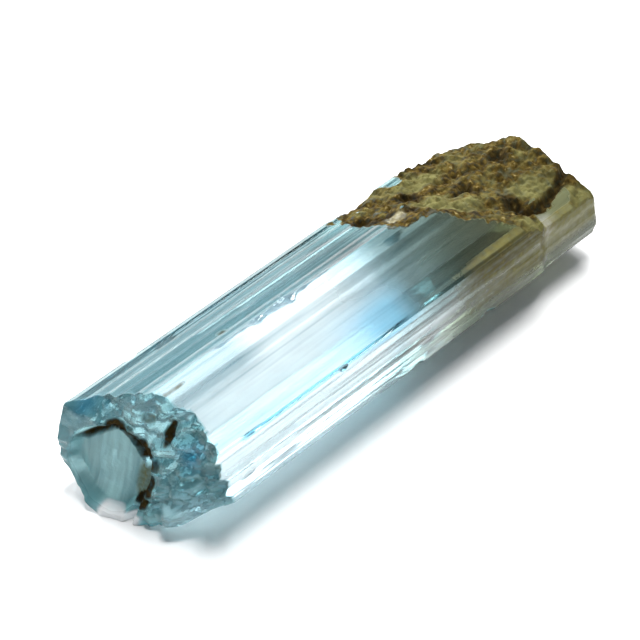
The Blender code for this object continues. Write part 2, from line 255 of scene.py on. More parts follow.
COLUMN_SPACING = 0.085  # grid of the striated skin, round the section
ROW_SPACING = 0.30  # and along it
CELL = 0.095  # grid of the broken surfaces
FINE_SEED = 41
# Fine striae on each face: spacing, and height out of the face.
FINE_STRIAE = (
    (0.20, 0.014),
    (0.22, 0.012),
    (0.16, 0.034),
    (0.20, 0.016),
    (0.22, 0.009),
    None,
    (0.19, 0.020),
)
FINE_STARTS = (-17, 8)  # where along X a stria may begin
FINE_LENGTHS = (4, 20)
FINE_UNEVENNESS = (0.5, 1.5)  # least and most of the spacing between two of them
SHARP_ANGLE = math.radians(9)

# Fine relief of the two rough breaks, in millimetres.
DISH_LINES = (0.05, 0.45, 3.0)  # lines in the dish: height, and size across and up
FINE_GRAIN = (0.14, 0.6)  # small grains among the crushed ones: height and size
GRAIN_FACETS = (0.34, 0.8)  # and facets
HIGH_FACETS = (0.30, 0.9)  # facets where there are no grains,
HIGH_FACETS_FROM = (5.4, 0.8)  # above this z, with its fade
TOP_FINE_LUMPS = (0.16, 0.65)
TOP_FACETS = (0.16, 0.9)
TOP_FINE_ROUGHNESS = (0.10, 0.40)


def stepped(table, x):
    """Each column of a table of (x, value, ...) rows, read at x along straight lines."""
    if x <= table[0][0]:
        return table[0][1:]
    for low, high in zip(table, table[1:]):
        if x < high[0]:
            share = (x - low[0]) / (high[0] - low[0])
            return tuple(a + (b - a) * share for a, b in zip(low[1:], high[1:]))
    return table[-1][1:]


def clamp(value):
    return min(1.0, max(0.0, value))


def smooth(value):
    value = clamp(value)
    return value * value * (3 - 2 * value)


def rises(value, start, length):
    """0 up to the start, then smoothly up to 1 over this length."""
    return smooth((value - start) / length)


def falls(value, end, length):
    """1, then smoothly down to 0 over this length before the end."""
    return smooth((end - value) / length)


def bump(distance, radius):
    """A rounded bump: 1 at its middle, 0 from this radius out."""
    return smooth(1 - distance / radius)


def distance_to_path(path, a, b):
    """Distance from (a, b) to a path of straight pieces."""
    nearest = math.inf
    for (start_a, start_b), (end_a, end_b) in zip(path, path[1:]):
        along_a, along_b = end_a - start_a, end_b - start_b
        share = (a - start_a) * along_a + (b - start_b) * along_b
        share = clamp(share / (along_a * along_a + along_b * along_b))
        away = math.hypot(a - start_a - along_a * share, b - start_b - along_b * share)
        nearest = min(nearest, away)
    return nearest


def lumps(size, *place):
    """Rounded grains of about this size, from 0 in the creases to 1 on top."""
    distances, _ = noise.voronoi(Vector(place) / size)
    return clamp((distances[1] - distances[0]) * LUMP_STEEPNESS)


def facets(size, *place):
    """Small tilted planes of about this size that meet in steps, about -0.4 to 0.4."""
    spot = Vector(place) / size
    nearest = noise.voronoi(spot)[1][0]
    tilt = noise.cell_vector(nearest * 19.7) - Vector((0.5, 0.5, 0.5))
    return tilt.dot(spot - nearest)


OCTAVES = (0.8, 2.1)  # how fast a noise's finer octaves fade, and how much finer each is


def waves(roughness, *place, octaves=3):
    """Natural unevenness of this (height, size). The place's last value picks a slice of the noise."""
    height, size = roughness
    return height * noise.fractal(Vector(place) / size, *OCTAVES, octaves)


# --- The prism ---


def corner(index, x):
    """Corner (y, z) of the section at x: full, then stepped in on the lobe."""
    share = clamp((x - LOBE_START[index]) / LOBE_STEP)
    return np.array(CORNERS[index]) * (1 - share) + np.array(LOBE_CORNERS[index]) * share


def fine_ledges(face, draw):
    """Random fine striae of a face, each over its own stretch of the crystal."""
    if FINE_STRIAE[face] is None:
        return []
    spacing, height = FINE_STRIAE[face]
    width = math.dist(CORNERS[face], CORNERS[(face + 1) % len(CORNERS)])
    made, place = [], spacing / width
    while place < 1 - spacing / width:
        start = draw.choice((-ENDLESS, draw.uniform(*FINE_STARTS)))
        end = draw.choice((ENDLESS, start + draw.uniform(*FINE_LENGTHS)))
        made.append((place, height * draw.uniform(-1, 1), start, max(end, start + FINE_LENGTHS[0])))
        place += spacing * draw.uniform(*FINE_UNEVENNESS) / width
    return made


def ledge_profile(ledges, places, x):
    """Heights at these places across a face, along straight lines between the ledges."""
    knots, heights = [0.0], [0.0]
    for place, height, start, end in ledges:
        shown = clamp((x - start) / LEDGE_FADE) * clamp((end - x) / LEDGE_FADE)
        knots.append(place)
        heights.append(height * shown)
    return np.interp(places, knots + [1.0], heights + [0.0])


def skin_places():
    """Places across each face where the fine grid has a line."""
    places = []
    for face, start in enumerate(CORNERS):
        width = math.dist(start, CORNERS[(face + 1) % len(CORNERS)])
        count = max(2, round(width / COLUMN_SPACING))
        places.append(np.arange(count) / count)
    return places


def skin_ring(x, places, fine):
    """(y, z) all the way round the section at x."""
    ring = []
    for face, across in enumerate(places):
        start, end = corner(face, x), corner((face + 1) % len(CORNERS), x)
        along = (end - start) / np.linalg.norm(end - start)
        out = np.array((-along[1], along[0]))
        height = ledge_profile(LEDGES[face], across, x)
        height += ledge_profile(fine[face], across, x)
        ring.append(start + np.outer(across, end - start) + np.outer(height, out))
    return np.concatenate(ring)


def make_skin():
    """The whole striated prism before anything broke off, closed at both ends."""
    draw = random.Random(FINE_SEED)
    fine = [fine_ledges(face, draw) for face in range(len(CORNERS))]
    places = skin_places()
    start, end = NEAR_X - SKIN_SPARE, FAR_X + SKIN_SPARE
    rows = np.linspace(start, end, round((end - start) / ROW_SPACING) + 1)
    rings = [skin_ring(x, places, fine) for x in rows]
    mesh = bmesh.new()
    made = [
        [mesh.verts.new((x * MM, y * MM, z * MM)) for y, z in ring]
        for x, ring in zip(rows, rings)
    ]
    count = len(rings[0])
    for low, high in zip(made, made[1:]):
        for i in range(count):
            j = (i + 1) % count
            mesh.faces.new((low[i], low[j], high[j], high[i]))
    mesh.faces.new(made[0])
    mesh.faces.new(made[-1])
    return finish_object(mesh, "crystal")


# --- The broken surfaces ---


def from_edge(y, z):
    """How far (y, z) is into the near end from the edge of its back low face."""
    return (CORNERS[4][0] - y) * DISH_EDGE[0] + (z - CORNERS[4][1]) * DISH_EDGE[1]


def dish_share(y, z):
    """1 inside the smooth shell-shaped facet of the near end, 0 outside it."""
    to_dish = math.hypot(
        (y - DISH_CENTRE[0]) / DISH_RADII[0], (z - DISH_CENTRE[1]) / DISH_RADII[1]
    )
    kept = rises(from_edge(y, z), *DISH_MARGIN)
    kept *= clamp((z - DISH_FLOOR[0]) / DISH_FLOOR[1])
    return kept * smooth((1 + DISH_RIM - to_dish) / (2 * DISH_RIM))


def near_break(y, z):
    """x of the near end at (y, z)."""
    x = stepped(list(zip(NEAR_Y, stepped(NEAR_X_AT, z))), y)[0]
    in_dish = dish_share(y, z)
    x += waves(NEAR_ROUGHNESS, y, z, 4.0) * (1 - DISH_SMOOTHNESS * in_dish)
    x += DISH_DEPTH * in_dish
    line_height, line_width, line_length = DISH_LINES
    spot = Vector((y / line_width, z / line_length, 1.0))
    x += line_height * in_dish * noise.fractal(spot, 0.9, 2.1, 2)
    x += CRACK_DEPTH * bump(distance_to_path(CRACK, y, z), CRACK_WIDTH)
    lump_y, lump_z, radius, height = FOOT_LUMP
    x -= height * bump(math.hypot(y - lump_y, z - lump_z), radius)
    in_front = falls(y, *GRAIN_FRONT)
    on_top = rises(z, *GRAIN_TOP[:2]) * GRAIN_TOP[2]
    grained = min(1.0, in_front + on_top)
    x -= GRAIN_HEIGHT * grained * (lumps(GRAIN_SIZE, y, z, 0.0) - GRAIN_LEVEL)
    fine = FINE_GRAIN[0] * (lumps(FINE_GRAIN[1], y, z, 3.0) - GRAIN_LEVEL)
    x -= grained * (fine + GRAIN_FACETS[0] * facets(GRAIN_FACETS[1], y, z, 8.0))
    bare = HIGH_FACETS[0] * (1 - in_dish) * (1 - grained) * rises(z, *HIGH_FACETS_FROM)
    x -= bare * facets(HIGH_FACETS[1], y, z, 5.0)
    front_rim = falls(y, *RIM_FRONT)
    top_rim = smooth((z - RIM_TOP[0] + RIM_TOP[1] * y) / RIM_TOP[2])
    bite = abs(math.sin(math.pi * (y + z) / RIM_SCALLOP))
    return x + RIM_SCALLOP_DEPTH * min(1.0, front_rim + top_rim) * bite


def top_break(x, y):
    """Height of the rough surface on top of the far end."""
    middle, slope = stepped(TOP_BREAK, x)
    z = middle + slope * y
    crowned = smooth((x - TOP_CROWN_START[0]) / TOP_CROWN_START[1])
    z -= TOP_CROWN * crowned * max(0.0, abs(y) - TOP_CROWN_FLAT) ** 2
    z += TOP_LUMP_HEIGHT * (lumps(TOP_LUMP_SIZE, x, y, 9.0) - 0.5)
    z += waves(TOP_ROUGHNESS, x, y, 2.0)
    fine = TOP_FINE_LUMPS[0] * (lumps(TOP_FINE_LUMPS[1], x, y, 1.0) - 0.5)
    z += fine + TOP_FACETS[0] * facets(TOP_FACETS[1], x, y, 6.0)
    z += waves(TOP_FINE_ROUGHNESS, x, y, 4.0)
    for pit_x, pit_y, radius, depth in TOP_PITS:
        z -= depth * bump(math.hypot(x - pit_x, y - pit_y), radius)
    return z - TOP_GROOVE_DEPTH * bump(distance_to_path(TOP_GROOVE, x, y), TOP_GROOVE_WIDTH)


def far_break(y, z):
    """x of the far end at (y, z)."""
    start, pace = FAR_CHAMFER
    share = 1 - FAR_CHAMFER_LOSS * max(0.0, CORNERS[3][1] - z)
    back = pace * max(0.0, y - start) * max(FAR_CHAMFER_LEAST, share)
    back += FAR_LEAN * max(0.0, z - FAR_HEIGHT) + FAR_UNDERCUT * max(0.0, FAR_HEIGHT - z)
    return FAR_X - back - abs(waves(FAR_ROUGHNESS, y, z, 7.0))


def ridge_break(x, across):
    """(y, z) of the chipped layer this far from the ridge, and which way is out of the face."""
    ridge, back = Vector(CORNERS[2]), Vector(CORNERS[3])
    along = (back - ridge).normalized()
    out = Vector((-along.y, along.x))
    depth = stepped(RIDGE_CHIPS, x)[0]
    if depth > 0:
        depth += waves(RIDGE_CHIP_ROUGHNESS, x, across, 5.0) * min(1.0, depth * RIDGE_CHIP_FULL)
    depth -= RIDGE_CHIP_RISE * smooth(across / RIDGE_CHIP_WIDTH)
    return ridge + along * across - out * depth, out


def make_cutter(name, low, high, place):
    """A closed block over the rectangle low..high, whose inner side is the broken surface."""
    spans = [high[i] - low[i] for i in (0, 1)]
    cells = [round(span / CELL) for span in spans]
    mesh = bmesh.new()
    bmesh.ops.create_grid(mesh, x_segments=cells[0], y_segments=cells[1], size=0.5)
    for vert in mesh.verts:
        vert.co.x = low[0] + (vert.co.x + 0.5) * spans[0]
        vert.co.y = low[1] + (vert.co.y + 0.5) * spans[1]
    grown = bmesh.ops.extrude_face_region(mesh, geom=mesh.faces[:])
    outer = {item for item in grown["geom"] if isinstance(item, bmesh.types.BMVert)}
    for vert in mesh.verts:
        vert.co = Vector(place(vert.co.x, vert.co.y, vert in outer)) * MM
    return finish_object(mesh, name)


def make_cutters():
    """Everything that breaks the prism, in the order of the cuts."""

    def near(y, z, outside=False):
        return (NEAR_X - CUTTER_REACH if outside else near_break(y, z), y, z)

    def far(y, z, outside=False):
        return (FAR_X + CUTTER_REACH if outside else far_break(y, z), y, z)

    def top(x, y, outside=False):
        return (x, y, CORNERS[2][1] + CUTTER_REACH if outside else top_break(x, y))

    def ridge(x, across, outside=False):
        place, out = ridge_break(x, across)
        return (x, *(place + out * CUTTER_REACH if outside else place))

    width = CORNERS[3][0] + CUTTER_SPARE
    section = ((-width, -CUTTER_SPARE), (width, CORNERS[2][1] + CUTTER_SPARE))
    top_from = (TOP_BREAK[0][0], -width)
    top_to = (FAR_X + SKIN_SPARE + CUTTER_SPARE, width)
    ridge_from = (RIDGE_CHIPS[0][0], -RIDGE_CHIP_SPARE[0])
    ridge_to = (RIDGE_CHIPS[-1][0], RIDGE_CHIP_WIDTH + RIDGE_CHIP_SPARE[1])
    return (
        make_cutter("near_break", *section, near),
        make_cutter("far_break", *section, far),
        make_cutter("top_break", top_from, top_to, top),
        make_cutter("ridge_chips", ridge_from, ridge_to, ridge),
        make_edge_chips(),
    )


def make_edge_chips():
    """One object of all the balls that bite chips out of the long edges."""
    mesh = bmesh.new()
    for x, index, radius, depth in EDGE_CHIPS:
        edge = Vector(CORNERS[index])
        out = (edge - Vector((0.0, CORNERS[2][1] / 2))).normalized()
        centre = edge + out * (radius - depth)
        place = Matrix.Translation(Vector((x, *centre)) * MM)
        bmesh.ops.create_icosphere(mesh, subdivisions=3, radius=radius * MM, matrix=place)
    return finish_object(mesh, "edge_chips")


def finish_object(mesh, name):
    """An object from a bmesh, with its faces turned outwards."""
    bmesh.ops.recalc_face_normals(mesh, faces=mesh.faces)
    data = bpy.data.meshes.new(name)
    mesh.to_mesh(data)
    mesh.free()
    made = bpy.data.objects.new(name, data)
    bpy.context.scene.collection.objects.link(made)
    return made


REGIONS = ("skin", "near", "far", "top", "ridge", "chip")  # what each face comes from, in order of cuts


def make_crystal():
    """The skin with every break cut out of it. Its materials say what made each face."""
    crystal = make_skin()
    cutters = make_cutters()
    for index, owner in enumerate((crystal, *cutters)):
        marker = bpy.data.materials.new(REGIONS[index])
        owner.data.materials.append(marker)
    for cutter in cutters:
        cut = crystal.modifiers.new(cutter.name, "BOOLEAN")
        cut.operation = "DIFFERENCE"
        cut.solver = "MANIFOLD"
        cut.material_mode = "TRANSFER"
        cut.object = cutter
    bpy.context.view_layer.update()
    graph = bpy.context.evaluated_depsgraph_get()
    whole = bpy.data.meshes.new_from_object(crystal.evaluated_get(graph))
    crystal.modifiers.clear()
    crystal.data = whole
    for cutter in cutters:
        bpy.data.objects.remove(cutter)
    return crystal


# --- Camera, floor and light ---

AIM = Vector((-1.1, 0.47, 4.4)) * MM
LOOK_DOWN = math.radians(45.0)
LOOK_TURN = math.radians(45.26)  # from +Y towards +X
DISTANCE = 158.0 * MM
PIXELS_PER_MM = 16.5  # at the aim point
FRAME_PIXELS = 640
SENSOR_MM = 36.0
CLIP = (0.01, 10.0)  # nearest and furthest that the camera sees, in metres
FLOOR_GAP = 0.03 * MM
FLOOR_COLOUR = (0.9, 0.9, 0.9)
FLOOR_ROUGHNESS = 0.9
SKY_COLOUR = (0.80, 0.86, 0.92)
SKY_STRENGTH = 0.22
# Square lamps aimed at the origin: (name, place and side in metres, watts, sampled directly).
LAMPS = (
    ("key", (0.08, 0.05, 0.40), 0.13, 2.2, False),
    ("back", (0.25, 0.25, 0.355), 0.17, 1.1, True),  # makes the glow inside the near half
    ("low", (0.03, 0.45, 0.16), 0.15, 2.4, False),
    ("card", (0.25, 0.43, 0.095), 0.24, 0.17, True),  # mirrored in the upper front face
)


def add_camera():
    ahead = Vector((
        math.sin(LOOK_TURN) * math.cos(LOOK_DOWN),
        math.cos(LOOK_TURN) * math.cos(LOOK_DOWN),
        -math.sin(LOOK_DOWN),
    ))
    lens = bpy.data.cameras.new("camera")
    lens.sensor_width = SENSOR_MM
    lens.lens = PIXELS_PER_MM * (DISTANCE / MM) * SENSOR_MM / FRAME_PIXELS
    lens.clip_start, lens.clip_end = CLIP
    camera = bpy.data.objects.new("camera", lens)
    camera.location = AIM - ahead * DISTANCE
    camera.rotation_euler = ahead.to_track_quat("-Z", "Y").to_euler()
    bpy.context.scene.collection.objects.link(camera)
    bpy.context.scene.camera = camera


def add_light(name, place, side, power, sampled):
    light = bpy.data.lights.new(name, "AREA")
    light.shape = "SQUARE"
    light.size = side
    light.energy = power
    light.cycles.use_multiple_importance_sampling = sampled
    lamp = bpy.data.objects.new(name, light)
    lamp.location = place
    lamp.rotation_euler = (-Vector(place)).to_track_quat("-Z", "Y").to_euler()
    bpy.context.scene.collection.objects.link(lamp)


def add_floor():
    mesh = bmesh.new()
    bmesh.ops.create_grid(mesh, x_segments=1, y_segments=1, size=1.0)
    floor = finish_object(mesh, "floor")
    floor.location.z = -FLOOR_GAP
    paper = bpy.data.materials.new("paper")
    paper.use_nodes = True
    shader = paper.node_tree.nodes["Principled BSDF"]
    shader.inputs["Base Color"].default_value = (*FLOOR_COLOUR, 1)
    shader.inputs["Roughness"].default_value = FLOOR_ROUGHNESS
    floor.data.materials.append(paper)


def add_world():
    world = bpy.data.worlds.new("studio")
    world.use_nodes = True
    sky = world.node_tree.nodes["Background"]
    sky.inputs["Color"].default_value = (*SKY_COLOUR, 1)
    sky.inputs["Strength"].default_value = SKY_STRENGTH
    bpy.context.scene.world = world


# --- The crystal's own colours ---

MM_PER_M = 1000.0
BERYL_IOR = 1.577
ABSORPTION = (0.15, 0.70, 0.85)
ABSORPTION_DENSITY = 32.0
# Tint of the clear body along X, in mm: blue, then a cloudy grey green, then olive.
BODY_TINTS = (
    (-19.0, (0.92, 0.985, 1.00)),
    (-1.5, (0.93, 0.985, 1.00)),
    (0.3, (0.70, 0.88, 0.95)),
    (1.5, (0.34, 0.50, 0.53)),
    (2.8, (0.19, 0.29, 0.29)),
    (5.0, (0.11, 0.16, 0.135)),
    (7.5, (0.070, 0.088, 0.058)),
    (10.0, (0.070, 0.066, 0.026)),
    (13.0, (0.12, 0.12, 0.053)),
    (15.0, (0.21, 0.22, 0.11)),
    (19.0, (0.22, 0.23, 0.11)),
)
BODY_WANDER = (260.0, 4.0)  # noise scale, and how far the tints stray along X in mm
FRACTURE_TINT = (0.34, 0.70, 0.70)
BLUE_TINT = (0.05, 0.50, 0.80)
WHITE = (1.0, 1.0, 1.0)
SHADE_TINT = (0.19, 0.30, 0.34)  # multiplies the body where the shade mark is 0
SHADE_GLOSS = (0.45, 0.50, 0.50)
# The iron stain: share of its noise, and colour. Its lightest stop gives rare golden specks, painted
# glints.
STAIN_TINTS = (
    (0.36, (0.012, 0.006, 0.001)),
    (0.50, (0.060, 0.038, 0.006)),
    (0.64, (0.125, 0.085, 0.016)),
    (0.76, (0.42, 0.34, 0.15)),
)
STAIN_SAND = (0.27, 0.25, 0.16)
STAIN_OLIVE = (0.185, 0.176, 0.062)
STAIN_SHADE = (0.27, 0.24, 0.19)
STAIN_GLOSS = (0.40, 0.34, 0.20)
STAIN_NOISE = 2600.0
STAIN_RAGGED = 0.9  # how much that noise breaks up the stain's edge
STAIN_FADE = 5.0  # the stain is full from one fifth of its mark up
OLIVE_NOISE = 1900.0
OLIVE_RAGGED = 1.3
CLEAR = (0.95, 0.75)  # transmission, and how much of it the cloud mark takes
STAIN_DULL = (0.97, -0.15)  # how much of it the stain takes, and how much less where olive
ROUGHNESS = (0.03, 0.30, 0.75)  # of the clear face, and what frost and stain add
BUMP_NOISE = 5200.0
BUMP_STRENGTH = 0.5
BUMP_DEPTH = 0.06 * MM

# --- Where the colours go ---

# Marks from 0 to 1 on every point of the mesh: how stained, how olive that stain is, how frosted and
# cloudy, how bright (painted shade), how much the tint of a fracture (also painted shade on the back
# top face), how blue, how pale (also painted highlights).
MARKS = ("stain", "olive", "frost", "cloud", "shade", "broken_and_shade", "blue", "pale_and_highlight")
# Below, a pair is where a fade begins and its length, and all of it is in millimetres.

# Near break: brightness in the creases and what the top of a grain adds, and the same in the dish
# for its lines, which have this size across and up.
NEAR_SHADE = (0.35, 0.6)
DISH_SHADE = (0.50, 0.45)
DISH_LINES_SIZE = (0.5, 4.0)
# Dark rim on the back side: inwards from the back low face, behind a y, and its lower corner.
RIM_SHADE = 0.12
RIM_INWARD = (0.75, 0.5)
RIM_BEHIND = (1.5, 0.6)
RIM_CORNER = (0.9, (3.4, 0.6), (5.3, 0.6))  # strength, behind this y, below this z
# Mottled grains in the upper back corner: behind this y, above this z, their size and strength.
MOTTLE_FROM = ((1.2, 0.5), (5.6, 0.5))
MOTTLE_SIZE = 0.55
MOTTLE_SHADE = (0.7, 0.45)
FRONT_SHADOW = (0.25, (-3.4, 0.5), (2.6, 0.6), (5.6, 0.6))  # strength, before this y, between these z
# Painted highlight: the shelf at the foot of the near end is made white and cloudy, without stain or
# fracture tint.
SHELF_HIGHLIGHT = ((0.66, 0.1), (1.75, 0.3), (-1.0, 0.3))  # below this z, between these y
LUMP_PALE = (0.4, 2.2, 0.35)  # how far above the foot lump, radius, strength
NEAR_STAIN_SHADE = 0.6
NEAR_FROST = (0.75, 0.25)  # and what the dish adds
NEAR_CLOUD = (0.25, 0.30, 0.4, 0.3)  # and what the dish, the rim and the lower edge add
NEAR_CLOUD_LOW = (1.8, 0.8)
NEAR_BLUE_WAVES = (0.4, 1.3)
NEAR_BLUE = ((-2.9, 5.6, 1.6, 0.9), (3.7, 6.6, 1.3, 0.5))  # (y, z, radius, how blue)
# Brown and olive marks: (y, z, half width, half height, stain, olive).
NEAR_SPOTS = (
    (1.50, 6.15, 0.62, 0.42, 1.0, 0.0),
    (2.15, 5.65, 0.50, 0.28, 1.0, 0.0),
    (0.55, 5.95, 0.50, 0.26, 1.0, 0.0),
    (-0.10, 5.50, 0.42, 0.42, 1.0, 0.0),
    (-0.55, 4.95, 0.36, 0.48, 1.0, 0.0),
    (-1.10, 4.25, 0.34, 0.42, 0.9, 0.1),
    (-0.30, 2.55, 0.55, 1.40, 0.80, 1.0),
    (-0.95, 2.75, 0.36, 0.85, 1.0, 0.0),
    (-0.60, 1.50, 0.55, 0.45, 1.0, 0.0),
    (-1.50, 6.70, 0.26, 0.85, 1.0, 0.0),
    (-0.25, 7.35, 0.35, 0.30, 0.5, 0.3),
)
SPOT_EDGE = (1.25, 0.45)  # in half widths
CRACK_STAINED = CRACK[:6]
CRACK_STAIN = (1.3, 0.42, 0.2)  # strength, half width, how olive

# Stained top: how stained and how olive, with the (height, size) of the waves in each.
TOP_STAIN = (1.15, (0.6, 1.6))
TOP_GREEN = (0.08, (0.55, 1.4))
TOP_GREEN_EDGE = (1.5, 0.9)
TOP_GREEN_STRENGTH = 0.8
# Paler, greener places: (x, y, half length, half width).
TOP_OLIVE = (
    (8.8, 0.6, 1.8, 1.1),
    (15.4, -2.1, 1.9, 1.1),
    (10.4, -1.0, 1.1, 0.6),
    (10.2, 3.2, 2.2, 0.7),
    (15.5, -4.4, 3.5, 1.0),
)
PIT_STAIN = 1.8  # a pit's stain and shadow reach this many of its radii
PIT_SHADOW = 1.4
# Painted shade: darker spots in and beside pits of the top, added to the pits' own.
TOP_PIT_SHADE = ((4.5, 2.3, 1.0), (5.6, 1.5, 0.5), (6.9, 0.6, 0.5), (13.1, -1.9, 0.6))  # (x, y, radius)
GROOVE_STAIN = 0.7  # half width
GROOVE_SHADOW = (0.7, 0.5)  # strength, half width
TOP_SHADE = (0.58, 0.50)
SAND_PATCH = (5.7, 0.7, 1.3, 0.75)  # x, y, how much longer than wide, radius
SAND_STRENGTH = (2.4, 0.75, 0.5)  # steepness of its edge, how pale, its streaks
SAND_STREAK = 8
TOP_FROST = 0.8
TOP_CLOUD = 0.5

# Far end and the chips.
FAR_STAIN = (0.30, (0.6, 2.0))
FAR_LOOK = {"olive": 0.7, "frost": 0.6, "cloud": 0.3, "shade": 1.0}
CHIP_LOOK = {"frost": 0.35, "cloud": 0.1, "shade": 0.35, "blue": 0.3}

# Striated sides. The foot is below one z and the low faces below the next.
FOOT_Z = 0.05
LOW_Z = 1.95
FOOT_LOOK = {"frost": 0.05, "shade": 1.0, "pale_and_highlight": 0.85}
LOW_LOOK = {"frost": 0.5, "shade": 1.0, "pale_and_highlight": 0.85}
HIGH_Z = 6.3  # both top faces are above this z,
BACK_TOP_Y = -0.35  # the back one behind this y
FRONT_Y = -0.3  # and the front faces before this one
EDGE_Y = -4.2  # near the front edge
FRONT_FACE_Y = -4.7  # on the front face itself
UPRIGHT_Y = 4.8  # past this y either way a face is upright, so z says how far across it is
UPRIGHT_SHIFT = 9
STREAK_SIZE = (9.0, 0.45)
STREAK_OCTAVES = (0.7, 2.2, 4)
FAR_HALF = (0.5, 4.0)
MURK = (0.10, 0.42)  # cloudiness, and what the far half adds
MURK_WAVES = (0.08, 0.17)
MURK_WAVES_SIZE = (4.0, 1.6)
SKIN_FROST = (0.15, 0.35)
SKIN_OLIVE = 0.75
BROWN_X = ((4.5, 3.0), (14.5, 2.5))  # the brown wash on the front: from and to along X,
BROWN_Z = ((3.2, 1.5), (6.9, 0.3))  # and up
BROWN_STRENGTH = (0.7, 0.45)
OLIVE_FROM = ((4.0, 4.5), (2.4, 1.0), (4.8, 1.0))  # olive front: x, z, and the z of its stronger part
OLIVE_STRENGTH = (0.48, 0.35, 0.5)
SKIN_SHADE = (1.0, 0.2, 0.45, 0.15)  # brightness, dark lines, thin dark lines, where those begin
BACK_TOP_SPOT = (-8.7, 0.96, 1.3, 0.42, 1.2)  # brown spot: x, y, length over width, radius, strength
# Painted shade: the back top face is darkened by its shade mark and by the fracture tint laid over it.
BACK_TOP_SHADE = (0.10, 0.9, 0.06)  # brightness, its lines, and what it loses
BACK_TOP_DARKER = (-12.0, 4.0)
BACK_TOP_MURK = 0.1
BACK_TOP_OLIVE = 0.3
BACK_TOP_SHADE_TINT = 0.85
FRONT_VEIL = {"strength": 0.18, "x_out": (0.5, 3.0)}
FRONT_STREAKS = 0.30
FRONT_LOW_SHADE = {"strength": 0.6, "x_in": (3.0, 4.0), "z_out": (3.8, 1.2)}
FRONT_FAR_VEIL = {"strength": 0.35, "x_in": (6.0, 2.5), "z_out": (7.4, 0.8)}
FRONT_HIGH = (4.6, 1.0)
# Painted highlight: the lower front face is paler over a stretch of the middle, which brightens the
# glow seen through it.
FRONT_LOW_HIGHLIGHT = (0.55, (0.2, 1.5), (6.8, 3.5))  # strength, from and to along X
FRONT_HIGH_SHADE = (0.55, (2.0, 2.5))
STEP_HIGHLIGHT = (13.9, 5.2, 1.3, 0.6)  # painted highlight at the step: x, z, length over height, strength
RIDGE_SHADES = (  # dark bands of the front top face, near the ridge
    {"strength": 0.62, "x_out": (-7.0, 3.0), "z_in": (7.9, 0.6)},
    {"strength": 0.35, "x_in": (-3.0, 2.0), "z_in": (9.0, 0.2)},
    {"strength": 0.35, "x_in": (0.5, 2.0), "z_in": (7.9, 0.5)},
)
RIDGE_STREAKS = 0.5
RIDGE_VEIL = {"strength": 0.16, "x_out": (-1.0, 3.0), "z_out": (9.1, 0.4)}
RIDGE_LINE = (9.05, 0.09, -15.8, -13.0, 0.7)  # brown line: z, half width, from x, to x, strength
# Blue patch on the front top face, tinted blue and made cloudy so it shows bright: painted glow.
BLUE_GLOW_PATCH = {"strength": 1.0, "x_in": (-6.0, 5.4), "x_out": (3.0, 2.8), "z_out": (8.4, 1.0)}
BLUE_GLOW_TINT = 0.62
BLUE_GLOW_MURK = 0.60
EDGE_GROOVE = ((-4.86, 6.66), (-4.74, 6.75))  # the groove behind the front edge, (y, z)
EDGE_GROOVE_WIDTH = (0.14, 0.08)
EDGE_GROOVE_X = ((-12.9, 0.8), (1.6, 1.6))
EDGE_GROOVE_BLUE = (0.75, 0.3)  # how blue, and how much darker as painted shade in the groove
TWIN_LINE = (-4.35, 6.98, 0.12, -2.6, 0.4, 0.7)  # y, z, half width, from x, to x, how blue
LINE_FADE = 0.8


def ellipse(a, b, middle_a, middle_b, half_a, half_b):
    """Distance from the middle in half sizes."""
    return math.hypot((a - middle_a) / half_a, (b - middle_b) / half_b)


def near_stain(y, z):
    """(how stained, how olive) the near break is at (y, z)."""
    depth, width, olive = CRACK_STAIN
    stain = depth * bump(distance_to_path(CRACK_STAINED, y, z), width)
    for *spot, depth, green in NEAR_SPOTS:
        mark = depth * falls(ellipse(y, z, *spot), *SPOT_EDGE)
        if mark > stain:
            stain, olive = mark, green
    return stain, olive


def top_stain(x, y):
    """(how stained, how olive) the rough top is at (x, y)."""
    stain = TOP_STAIN[0] + waves(TOP_STAIN[1], x, y, 3.0, octaves=4)
    olive = TOP_GREEN[0] + waves(TOP_GREEN[1], x, y, 5.0, octaves=4)
    for spot in TOP_OLIVE:
        olive += TOP_GREEN_STRENGTH * falls(ellipse(x, y, *spot), *TOP_GREEN_EDGE)
    for pit_x, pit_y, radius, _ in TOP_PITS:
        pit = bump(math.hypot(x - pit_x, y - pit_y), radius * PIT_STAIN)
        olive -= pit
        stain += pit
    crack = bump(distance_to_path(TOP_GROOVE, x, y), GROOVE_STAIN)
    return stain + crack, clamp(olive - crack)


def streaks(x, across, piece):
    """Thin streaks that run along the crystal, about -1 to 1. The last value picks a slice of noise."""
    length, width = STREAK_SIZE
    return noise.fractal(Vector((x / length, across / width, piece)), *STREAK_OCTAVES)


